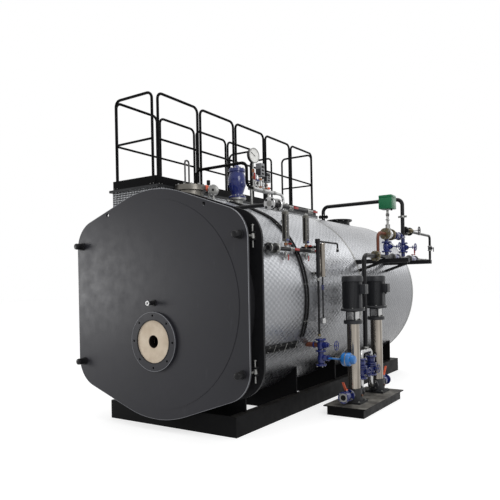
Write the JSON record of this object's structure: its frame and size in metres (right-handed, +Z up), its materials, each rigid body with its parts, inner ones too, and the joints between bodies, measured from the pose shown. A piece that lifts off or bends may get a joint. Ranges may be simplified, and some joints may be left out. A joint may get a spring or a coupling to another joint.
{
  "type": "industrial boiler",
  "caption": "Horizontal clad steam boiler on a base frame, with a hinged front door, a railed walkway, level and steam fittings, and a feed pump set beside it.",
  "frame": {"origin": "on the ground under the shell axis, at the middle cross saddle's underside, halfway along the base frame", "axes": "+Z up, -Y towards the front door, +X towards the pump set"},
  "size_m": [3.41, 5.405, 3.93],
  "materials": {
    "cladding": "embossed",
    "black_steel": "satin",
    "door_paint": "satin",
    "refractory": "matte",
    "steel": "brushed",
    "chequer_plate": "embossed",
    "blue_iron": "gloss",
    "blue_paint": "gloss",
    "green_plastic": "satin",
    "gauge_face": "satin",
    "grey_paint": "satin",
    "black_iron": "satin",
    "orange_plastic": "satin",
    "red_plastic": "satin"
  },
  "bodies": {
    "boiler": {"access_ladder": "black_steel", "balance_pipe": "black_steel", "base_beams": "black_steel", "base_end_plates": "black_steel", "blowdown_actuator": "blue_paint", "blowdown_valve": "blue_iron", "bypass_loop": "black_steel", "casing_eye_bolts": "steel", "control_conduits": "black_steel", "control_valve": "steel", "discharge_manifold": "black_steel", "discharge_valves": "blue_iron", "drain_lines": "black_steel", "end_rails": "black_steel", "far_rails": "black_steel", "feed_actuator": "green_plastic", "feed_riser": "black_steel", "flue_outlet": "black_steel", "front_flange_plate": "black_steel", "furnace_tube": "black_steel", "globe_valves": "blue_iron", "hinge_brackets": "black_steel", "hinge_pins": "steel", "instrument_header": "steel", "landing_rails": "black_steel", "level_gauges": "grey_paint", "level_manifolds": "black_steel", "manhole": "steel", "near_rails": "black_steel", "over_pipe": "black_steel", "pressure_gauge": "gauge_face", "pressure_switches": "grey_paint", "probe_column": "black_steel", "pump_bases": "black_iron", "pump_heads": "black_iron", "pump_motors": "black_iron", "pump_skid": "black_steel", "pump_tubes": "steel", "rear_cover": "black_steel", "rear_end_plate": "black_steel", "saddles": "black_steel", "sample_chamber": "steel", "shell": "cladding", "station_brackets": "black_steel", "steam_nozzle": "steel", "steam_valve": "blue_iron", "suction_valves": "blue_iron", "toe_boards": "black_steel", "walkway_deck": "black_steel", "walkway_housing": "chequer_plate"},
    "door": {"front_door": "door_paint", "burner_flange": "door_paint", "burner_refractory": "refractory", "sight_tube": "steel", "door_nuts": "black_steel", "door_eye_bolts": "steel"},
    "suction_lever_front": {"suction_lever_front": "orange_plastic"},
    "suction_lever_rear": {"suction_lever_rear": "orange_plastic"},
    "station_lever": {"station_lever": "red_plastic"}
  },
  "joints": [
    {"name": "door_hinge", "type": "hinge", "parent": "boiler", "child": "door", "pos_m": [1.188, -2.472, 1.415], "axis": [0, 0, 1], "range_deg": [0, 100]},
    {"name": "front_suction_turn", "type": "hinge", "parent": "boiler", "child": "suction_lever_front", "pos_m": [1.565, -1.077, 0.31], "axis": [0, 0, 1], "range_deg": [0, 90]},
    {"name": "rear_suction_turn", "type": "hinge", "parent": "boiler", "child": "suction_lever_rear", "pos_m": [1.565, 0.173, 0.31], "axis": [0, 0, -1], "range_deg": [0, 90]},
    {"name": "station_lever_turn", "type": "hinge", "parent": "boiler", "child": "station_lever", "pos_m": [1.565, 1.553, 2.04], "axis": [0, 0, -1], "range_deg": [0, 90]}
  ]
}
